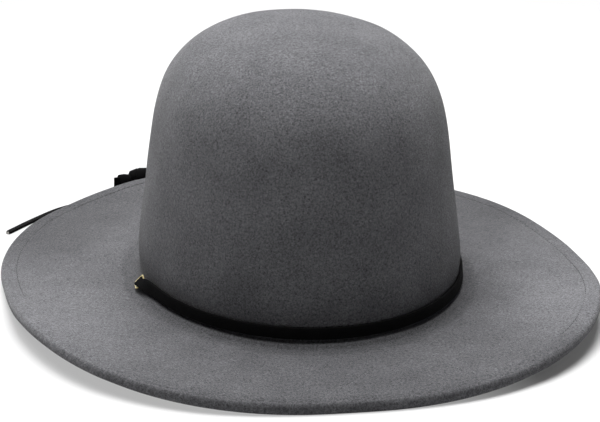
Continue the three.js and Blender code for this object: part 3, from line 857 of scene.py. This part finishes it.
def add_felt():
    section = felt_section()
    bm = bmesh.new()
    # A layer for the tone of painted light and shade
    painted_tone = bm.verts.layers.float.new("painted_light_tone")
    # A layer for the painted shade at the front edge
    edge_shade = bm.verts.layers.float.new("painted_edge_shade")
    last = len(section) - 1
    profile = [bm.verts.new((0 if i in (0, last) else 1, 0, i)) for i in range(len(section))]
    edges = [bm.edges.new(pair) for pair in zip(profile, profile[1:])]
    bmesh.ops.spin(bm, geom=profile + edges, cent=(0, 0, 0), axis=(0, 0, 1), dvec=(0, 0, 0),
                   angle=2 * math.pi, steps=COLUMNS, use_merge=True, use_duplicate=False)
    bmesh.ops.remove_doubles(bm, verts=bm.verts, dist=0.0005)
    lines = [BrimLine(2 * math.pi * i / COLUMNS) for i in range(COLUMNS)]
    for vert in bm.verts:
        column = round(math.atan2(vert.co.y, vert.co.x) / (2 * math.pi) * COLUMNS) % COLUMNS
        vert.co = section[round(vert.co.z)](lines[column])
        # Each point keeps its tone of painted light and shade
        vert[painted_tone] = painted_light_tone(vert.co)
        # Each point keeps its share of painted shade at the front edge
        vert[edge_shade] = painted_edge_shade(lines[column], vert.co)
    bmesh.ops.recalc_face_normals(bm, faces=bm.faces)
    bm.normal_update()
    moves = [vert.normal * felt_wobble(vert.co) for vert in bm.verts]
    for vert, move in zip(bm.verts, moves):
        vert.co += move
    body = add_piece("felt_hat", bm, [FELT_CLOTH], ["felt_body"])
    for seat in SEATS.values():
        cut_slot(body, seat)


# The slot that the strap goes down through
def cut_slot(body, seat):
    bm = bmesh.new()
    size = Matrix.Diagonal((SLOT_LENGTH, SLOT_WIDTH, SLOT_CUT_DEPTH, 1))
    place = seat.matrix(STRAP_DOWN_AT, FOOT_RADIUS + FELT / 2)
    bmesh.ops.create_cube(bm, size=1.0, matrix=Matrix.Scale(MM, 4) @ place @ size)
    bmesh.ops.recalc_face_normals(bm, faces=bm.faces)
    mesh = bpy.data.meshes.new("slot")
    bm.to_mesh(mesh)
    bm.free()
    cutter = bpy.data.objects.new("slot", mesh)
    bpy.context.scene.collection.objects.link(cutter)
    cut = body.modifiers.new("slot", "BOOLEAN")
    cut.operation = "DIFFERENCE"
    cut.solver = "EXACT"
    cut.object = cutter
    bpy.context.view_layer.update()
    graph = bpy.context.evaluated_depsgraph_get()
    shaped = bpy.data.meshes.new_from_object(body.evaluated_get(graph))
    body.modifiers.remove(cut)
    old = body.data
    body.data = shaped
    bpy.data.meshes.remove(old)
    bpy.data.objects.remove(cutter)
    bpy.data.meshes.remove(mesh)
    body.data.shade_smooth()
    body.data.set_sharp_from_angle(angle=math.radians(SHARP_DEG))


add_felt()


# Stitches in the seam, above and below: each one a short thread that dips into the felt at its ends
def add_stitches(name, thread_at):
    steps = 1800
    lines = [BrimLine(2 * math.pi * i / steps) for i in range(steps)]
    seam = [thread_at(line) for line in lines]
    seam.append(seam[0])
    length = line_length(seam)
    count = round(length / STITCH_PITCH)
    bm = bmesh.new()
    gone = 0.0
    placed = 0
    for i in range(steps):
        a, b = seam[i], seam[i + 1]
        while placed < count and gone + (b - a).length >= placed * length / count:
            share = (placed * length / count - gone) / (b - a).length
            run = (b - a).normalized()
            inwards = (lines[i].root - lines[i].edge).normalized()
            off = run.cross(inwards).normalized()
            across = off.cross(run)
            size = Matrix.Diagonal((STITCH_LENGTH, STITCH_THICK, STITCH_THICK * STITCH_FLATNESS, 1))
            place = axes_at(run, across, off, a.lerp(b, share)) @ size
            bmesh.ops.create_uvsphere(bm, u_segments=6, v_segments=5, radius=0.5, matrix=place)
            placed += 1
        gone += (b - a).length
    bmesh.ops.recalc_face_normals(bm, faces=bm.faces)
    return add_piece(name, bm, [THREAD], sharp_deg=180)


def thread_depth(line, shown):
    return SEAM_DEPTH - shown + COVERED_THREAD_SINKS * seam_cover(line)


add_stitches("seam_top", lambda line: line.top(HEM_WIDTH, thread_depth(line, 0.1)))
add_stitches("seam_under", lambda line: line.bottom(HEM_WIDTH, thread_depth(line, 0.05)))


# A flat frame with softened edges
def add_eyelet(side):
    bm = bmesh.new()
    made = bmesh.ops.create_grid(bm, x_segments=1, y_segments=1, size=0.5)
    bmesh.ops.scale(bm, vec=(EYELET_LENGTH, EYELET_WIDTH, 1), verts=made["verts"])
    bmesh.ops.bevel(
        bm, geom=bm.verts[:], offset=EYELET_CORNER, affect="VERTICES", segments=6, profile=0.5, material=-1
    )
    plate = bm.faces[:]
    bmesh.ops.inset_region(bm, faces=plate, thickness=EYELET_BORDER, use_boundary=True, use_even_offset=True)
    bmesh.ops.delete(bm, geom=plate, context="FACES_ONLY")
    bmesh.ops.recalc_face_normals(bm, faces=bm.faces)
    bmesh.ops.solidify(bm, geom=bm.faces[:], thickness=EYELET_THICK)
    bmesh.ops.recalc_face_normals(bm, faces=bm.faces)
    low = min(v.co.z for v in bm.verts)
    high = max(v.co.z for v in bm.verts)
    bmesh.ops.translate(bm, vec=(0, 0, -(low + high) / 2), verts=bm.verts)
    rims = [edge for edge in bm.edges if edge.calc_face_angle(0) > math.radians(60)]
    bmesh.ops.bevel(
        bm, geom=rims, offset=EYELET_SOFT_EDGE, affect="EDGES", segments=3, profile=0.5, material=-1
    )
    bmesh.ops.transform(bm, matrix=SEATS[side].matrix(0, EYELET_DEPTH), verts=bm.verts)
    bmesh.ops.recalc_face_normals(bm, faces=bm.faces)
    return add_piece("brass_eyelet_" + side, bm, [BRASS], ["eyelet_" + side])


add_eyelet("left")
add_eyelet("right")


# The strap over the front of the crown, leaning with the wall
def wall_frame(degrees):
    lean = math.radians(STRAP_LEAN_DEG)
    angle = math.radians(degrees)
    out = crown_out(angle)
    face = out * math.cos(lean) + UP * math.sin(lean)
    across = UP * math.cos(lean) - out * math.sin(lean)
    wall_up = BRIM_ROOT_Z + STRAP_LOW_EDGE + STRAP_WIDTH / 2 * math.cos(lean)
    to_right = blend_from(degrees, STRAP_OUT_FROM_DEG, STRAP_OUT_TO_DEG)
    at = crown_oval(angle) + UP * wall_up + out * between(STRAP_OUT, STRAP_OUT_RIGHT, to_right)
    return at, across, face


def wall_place(degrees):
    at, across, face = wall_frame(degrees)
    return strap_place(at, across, face, STRAP_WIDTH + STRAP_UNEVEN * noise.noise(at / 9))


# A bend drawn through its two ends and the handles that they lead to
def bend_point(ends, t):
    first = ends[0] * (1 - t) ** 3 + ends[1] * 3 * t * (1 - t) ** 2
    return first + ends[2] * 3 * t**2 * (1 - t) + ends[3] * t**3


def bend_run(ends, t):
    steps = [after - before for before, after in zip(ends, ends[1:])]
    run = steps[0] * (1 - t) ** 2 + steps[1] * 2 * t * (1 - t) + steps[2] * t**2
    return run.normalized()


# From the eyelet up to the crown's wall in one easy bend
def bend_places(seat):
    degrees = STRAP_LEFT_DEG if seat.side < 0 else STRAP_RIGHT_DEG
    wall_at, _, wall_face = wall_frame(degrees)
    start = seat.at(STRAP_DOWN_AT + TURN_RADIUS + NECK_LENGTH, STRAP_OVER)
    leave = math.radians(BEND_START_DEG)
    leave = seat.forward * math.cos(leave) + seat.rise * math.sin(leave)
    turn = math.radians(degrees)
    round_crown = Vector((CROWN_HALF_WIDTH * math.cos(turn), CROWN_HALF_LENGTH * math.sin(turn), 0))
    run = round_crown.normalized() * seat.side
    reach = (wall_at - start).length / 3
    ends = [start, start + leave * reach, wall_at + run * reach, wall_at]
    places = []
    for i in range(1, 20):
        t = i / 20
        face = seat.off.lerp(wall_face, blend_from(t, 0, 1)).normalized()
        square = (bend_run(ends, t).cross(face) * seat.side).normalized()
        grown = blend_from(t, 0, 0.35)
        across = seat.rise.lerp(square, grown)
        thick = between(STRAP_NECK_THICK, STRAP_THICK, blend_from(t, 0.3, 0.8))
        width = between(STRAP_NECK_WIDTH, STRAP_WIDTH, grown)
        places.append(strap_place(bend_point(ends, t), across, face, width, thick))
    return places


# Over the front bar of the eyelet, round and down through the slot
def end_places(seat):
    start = seat.at(STRAP_DOWN_AT + TURN_RADIUS + NECK_LENGTH, STRAP_OVER)
    neck = (STRAP_NECK_WIDTH, STRAP_NECK_THICK)
    places = [strap_place(start, seat.rise, seat.off, *neck)]
    for turned in range(0, 91, 15):
        turn = math.radians(turned)
        forward = STRAP_DOWN_AT + TURN_RADIUS * (1 - math.sin(turn))
        depth = STRAP_OVER + TURN_RADIUS * (1 - math.cos(turn))
        face = seat.off * math.cos(turn) - seat.forward * math.sin(turn)
        places.append(strap_place(seat.at(forward, depth), seat.rise, face, *neck))
    through = seat.at(STRAP_DOWN_AT, FOOT_RADIUS + FELT / 2)
    places.append(strap_place(through, seat.rise, -seat.forward, *neck))
    return places + fall_places(seat, seat.at(STRAP_DOWN_AT, FOOT_RADIUS + FELT + 0.6))


# Under the slot it falls in one bend to the surface and turns flat
def fall_places(seat, start):
    end = laid_point(seat, 0)
    ends = [start, start - seat.off * 4.5, end + seat.level * 9, end]
    places = []
    for i in range(17):
        t = i / 16
        run = bend_run(ends, t)
        turned = blend_from(t, 0, 0.7)
        across = seat.rise.lerp(-seat.out, turned)
        across = (across - run * across.dot(run)).normalized()
        face = run.cross(across) * seat.side
        width = between(STRAP_NECK_WIDTH, STRAP_WIDTH, turned)
        thick = between(STRAP_NECK_THICK, STRAP_THICK, turned)
        places.append(strap_place(bend_point(ends, t), across, face, width, thick))
    return places


def add_front_strap():
    steps = 150
    places = list(reversed(end_places(SEATS["left"]))) + bend_places(SEATS["left"])
    places += [wall_place(between(STRAP_LEFT_DEG, STRAP_RIGHT_DEG, i / steps)) for i in range(steps + 1)]
    places += list(reversed(bend_places(SEATS["right"]))) + end_places(SEATS["right"])
    bm = bmesh.new()
    draw_strap(bm, places)
    bmesh.ops.recalc_face_normals(bm, faces=bm.faces)
    return add_piece("front_strap", bm, [SUEDE], ["strap_front"])


add_front_strap()


# The floor: pale and lit from within, so shadows stay light, and plain white to the eye further out
def add_floor():
    material, tree, place = new_material("pale_floor")
    matt = add_node(tree, "ShaderNodeBsdfDiffuse", {"Color": FLOOR_GREY})
    white = add_node(tree, "ShaderNodeEmission", {"Color": (1, 1, 1, 1), "Strength": 1.0})
    flat = add_node(tree, "ShaderNodeVectorMath", {0: place, 1: (1, 1, 0)}, operation="MULTIPLY").outputs[0]
    reach = add_node(tree, "ShaderNodeVectorMath", {0: flat}, operation="LENGTH").outputs["Value"]
    oval = add_node(tree, "ShaderNodeVectorMath", {0: flat, 1: UNDER_BRIM}, operation="MULTIPLY").outputs[0]
    outwards = add_node(tree, "ShaderNodeVectorMath", {0: oval}, operation="LENGTH").outputs["Value"]
    side = add_node(tree, "ShaderNodeSeparateXYZ", {0: place}).outputs["X"]
    deep = add_range(tree, side, *DEEP_SHADE_X, *DEEP_SHADE)
    lit = add_range(tree, side, *FLOOR_GLOW_X, *FLOOR_GLOW)
    glow = add_range(tree, add_math(tree, "SUBTRACT", outwards, deep), 0.0, SHADE_EDGE, 0.0, lit)
    far = add_math(tree, "MAXIMUM", glow, add_range(tree, reach, FLOOR_MATT_TO, FLOOR_WHITE_FROM))
    seen = add_node(tree, "ShaderNodeLightPath").outputs["Is Camera Ray"]
    share = add_math(tree, "MULTIPLY", far, seen)
    mixed = add_node(tree, "ShaderNodeMixShader", {0: share, 1: matt.outputs[0], 2: white.outputs[0]})
    add_node(tree, "ShaderNodeOutputMaterial", {"Surface": mixed.outputs[0]})
    bm = bmesh.new()
    bmesh.ops.create_grid(bm, x_segments=1, y_segments=1, size=FLOOR_SIZE)
    mesh = bpy.data.meshes.new("floor")
    bm.to_mesh(mesh)
    bm.free()
    mesh.materials.append(material)
    floor = bpy.data.objects.new("floor", mesh)
    bpy.context.scene.collection.objects.link(floor)


def add_softbox(name, round_deg, up_deg, distance, size, watts):
    lamp = bpy.data.lights.new(name, "AREA")
    lamp.shape = "SQUARE"
    lamp.size = size
    lamp.energy = watts
    turned = math.radians(round_deg)
    raised = math.radians(up_deg)
    out = Vector((math.sin(turned), -math.cos(turned), 0))
    way = out * math.cos(raised) + UP * math.sin(raised)
    light = bpy.data.objects.new(name, lamp)
    turn = (-way).to_track_quat("-Z", "Y").to_matrix().to_4x4()
    light.matrix_world = Matrix.Translation(way * distance + UP * SOFTBOXES_LOOK_AT_Z) @ turn
    bpy.context.scene.collection.objects.link(light)


# White surroundings to the eye, and a soft glow for polished metal to mirror
def add_surroundings(glow):
    world = bpy.data.worlds.new("surroundings")
    world.use_nodes = True
    tree = world.node_tree
    tree.nodes.clear()
    rays = add_node(tree, "ShaderNodeLightPath").outputs
    mirrored = add_math(tree, "MULTIPLY", rays["Is Glossy Ray"], glow)
    power = add_math(tree, "ADD", rays["Is Camera Ray"], mirrored)
    back = add_node(tree, "ShaderNodeBackground", {"Color": (1, 1, 1, 1), "Strength": power})
    add_node(tree, "ShaderNodeOutputWorld", {"Surface": back.outputs[0]})
    bpy.context.scene.world = world


add_floor()
for softbox in SOFTBOXES:
    add_softbox(*softbox)
add_surroundings(METAL_GLOW)
bpy.context.scene.view_settings.view_transform = "Standard"
